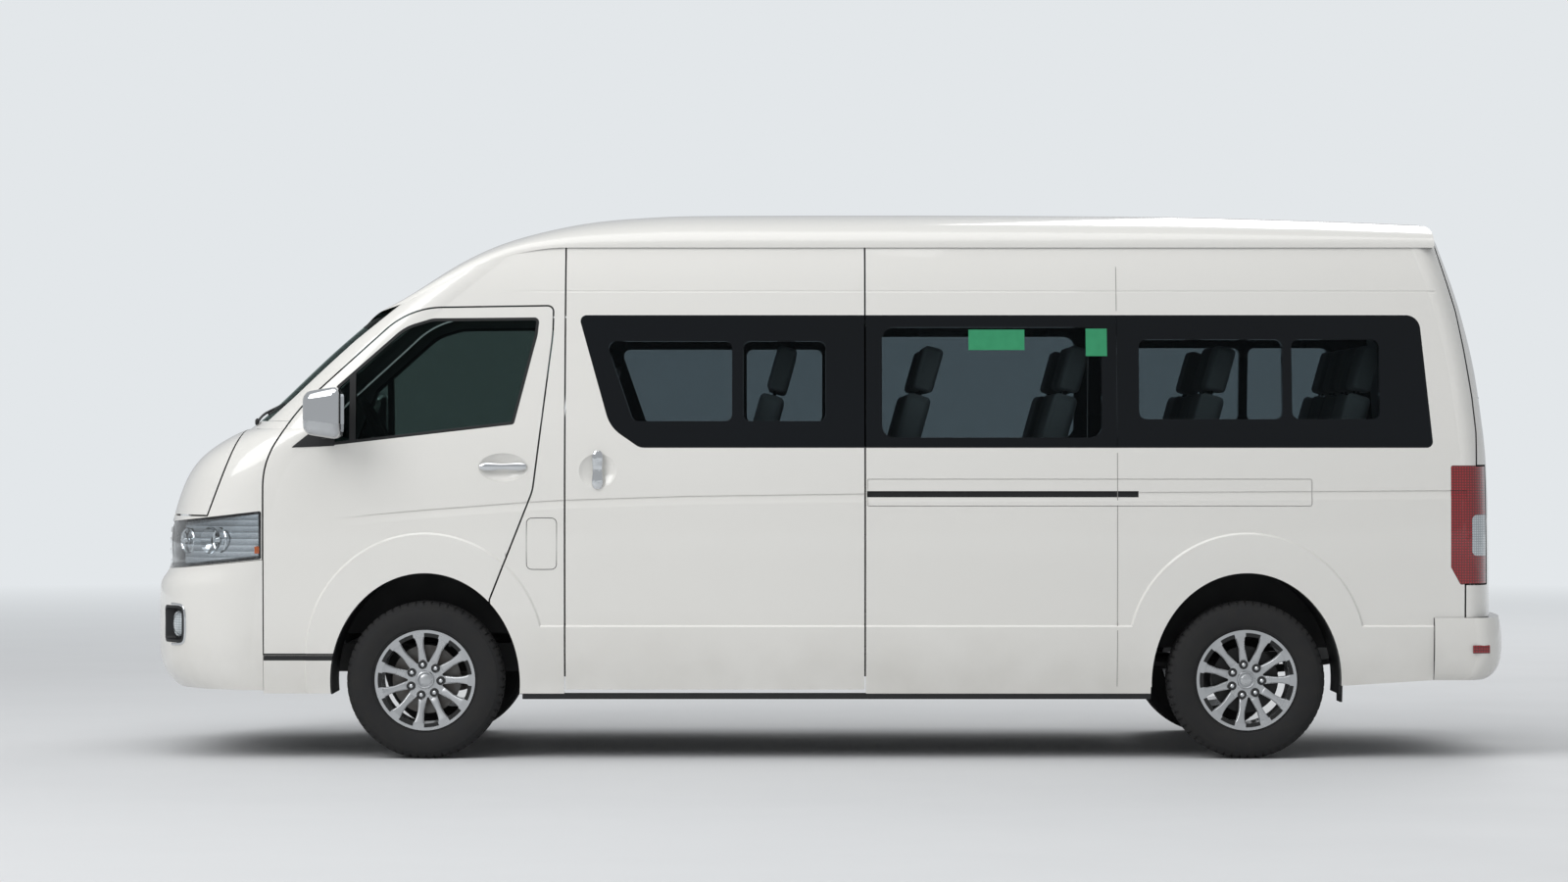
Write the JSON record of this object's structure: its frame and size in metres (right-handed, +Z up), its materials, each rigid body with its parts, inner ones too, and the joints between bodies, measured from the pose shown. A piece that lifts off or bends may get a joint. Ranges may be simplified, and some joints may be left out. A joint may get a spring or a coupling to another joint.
{
  "type": "minibus",
  "caption": "High-roof minibus with short bonnet, hinged front doors, sliding side doors, long window bands, lifting tailgate, passenger seats and steered front wheels.",
  "frame": {"origin": "on the ground below the middle of the body, centre of the bounding box's base", "axes": "+X to the rear of the vehicle, so the front faces -X; the driver's side is -Y; +Z up"},
  "size_m": [5.701, 2.38, 2.2849],
  "materials": {
    "paint": "gloss",
    "bumper_paint": "gloss",
    "chrome": "polished",
    "lamp": "clear gloss",
    "red_lamp": "clear gloss",
    "black_gloss": "gloss",
    "glass": "tinted",
    "black_plastic": "matte",
    "grey_plastic": "matte",
    "floor": "satin",
    "fabric": "woven",
    "iron": "satin",
    "tyre": "matte",
    "rim": "satin"
  },
  "bodies": {
    "body": {"roof": "paint", "front_bumper": "bumper_paint", "nose_panel": "paint", "grille": "chrome", "headlamps": "lamp", "side_left": "paint", "side_right": "paint", "sliding_door_left": "paint", "sliding_door_right": "paint", "window_bands": "black_gloss", "window_panes": "glass", "windscreen": "glass", "tail_lamps": "red_lamp", "rear_bumper": "bumper_paint", "sill_trims": "black_plastic", "floor": "floor", "wheel_liners": "black_plastic", "dashboard": "grey_plastic", "seats_left": "fabric", "seats_right": "fabric", "cab_seats": "fabric", "engine": "iron", "underframe": "iron", "rear_axle": "iron", "fuel_tank": "black_plastic", "exhaust": "iron", "fog_lamps": "chrome", "headlamp_rims": "black_gloss", "headlamp_units": "chrome", "reverse_lamps": "lamp", "slider_tracks": "black_plastic", "slider_handles": "chrome"},
    "door_left": {"door_left": "paint", "door_glass_left": "glass", "mirror_left": "chrome", "door_handle_left": "chrome", "door_seal_left": "black_plastic"},
    "door_right": {"door_right": "paint", "door_glass_right": "glass", "mirror_right": "chrome", "door_handle_right": "chrome", "door_seal_right": "black_plastic"},
    "tailgate": {"tailgate": "paint", "tailgate_glass": "glass"},
    "bonnet": {"bonnet": "paint"},
    "steering_wheel": {"steering_wheel": "black_plastic"},
    "knuckle_left": {"knuckle_left": "iron"},
    "knuckle_right": {"knuckle_right": "iron"},
    "wheel_front_left": {"tyre_front_left": "tyre", "rim_front_left": "rim"},
    "wheel_front_right": {"tyre_front_right": "tyre", "rim_front_right": "rim"},
    "wheel_rear_left": {"tyre_rear_left": "tyre", "rim_rear_left": "rim"},
    "wheel_rear_right": {"tyre_rear_right": "tyre", "rim_rear_right": "rim"}
  },
  "joints": [
    {"name": "steer_left", "type": "hinge", "parent": "body", "child": "knuckle_left", "pos_m": [-1.668, -0.757, 0.326], "axis": [0, 0, 1], "range_deg": [-30, 30]},
    {"name": "steer_right", "type": "hinge", "parent": "body", "child": "knuckle_right", "pos_m": [-1.668, 0.757, 0.326], "axis": [0, 0, 1], "range_deg": [-30, 30]},
    {"name": "steering_wheel_turn", "type": "hinge", "parent": "body", "child": "steering_wheel", "pos_m": [-1.88, -0.43, 1.33], "axis": [0.866, 0, 0.5], "range_deg": [-480, 480]},
    {"name": "spin_front_left", "type": "hinge", "parent": "knuckle_left", "child": "wheel_front_left", "pos_m": [-1.668, -0.827, 0.326], "axis": [0, 1, 0], "continuous": true},
    {"name": "spin_front_right", "type": "hinge", "parent": "knuckle_right", "child": "wheel_front_right", "pos_m": [-1.668, 0.827, 0.326], "axis": [0, 1, 0], "continuous": true},
    {"name": "spin_rear_left", "type": "hinge", "parent": "body", "child": "wheel_rear_left", "pos_m": [1.733, -0.827, 0.326], "axis": [0, 1, 0], "continuous": true},
    {"name": "spin_rear_right", "type": "hinge", "parent": "body", "child": "wheel_rear_right", "pos_m": [1.733, 0.827, 0.326], "axis": [0, 1, 0], "continuous": true},
    {"name": "door_left_swing", "type": "hinge", "parent": "body", "child": "door_left", "pos_m": [-2.3345, -0.9405, 1], "axis": [0, 0, -1], "range_deg": [0, 65]},
    {"name": "door_right_swing", "type": "hinge", "parent": "body", "child": "door_right", "pos_m": [-2.3345, 0.9405, 1], "axis": [0, 0, 1], "range_deg": [0, 65]},
    {"name": "tailgate_lift", "type": "hinge", "parent": "body", "child": "tailgate", "pos_m": [2.575, 0, 2.19], "axis": [0, -1, 0], "range_deg": [0, 85]},
    {"name": "bonnet_lift", "type": "hinge", "parent": "body", "child": "bonnet", "pos_m": [-2.436, 0, 1.38], "axis": [0, 1, 0], "range_deg": [0, 50]}
  ],
  "couplings": [
    {"joint": "steer_right", "follows": "steer_left", "ratio": 1},
    {"joint": "steering_wheel_turn", "follows": "steer_left", "ratio": 16}
  ]
}
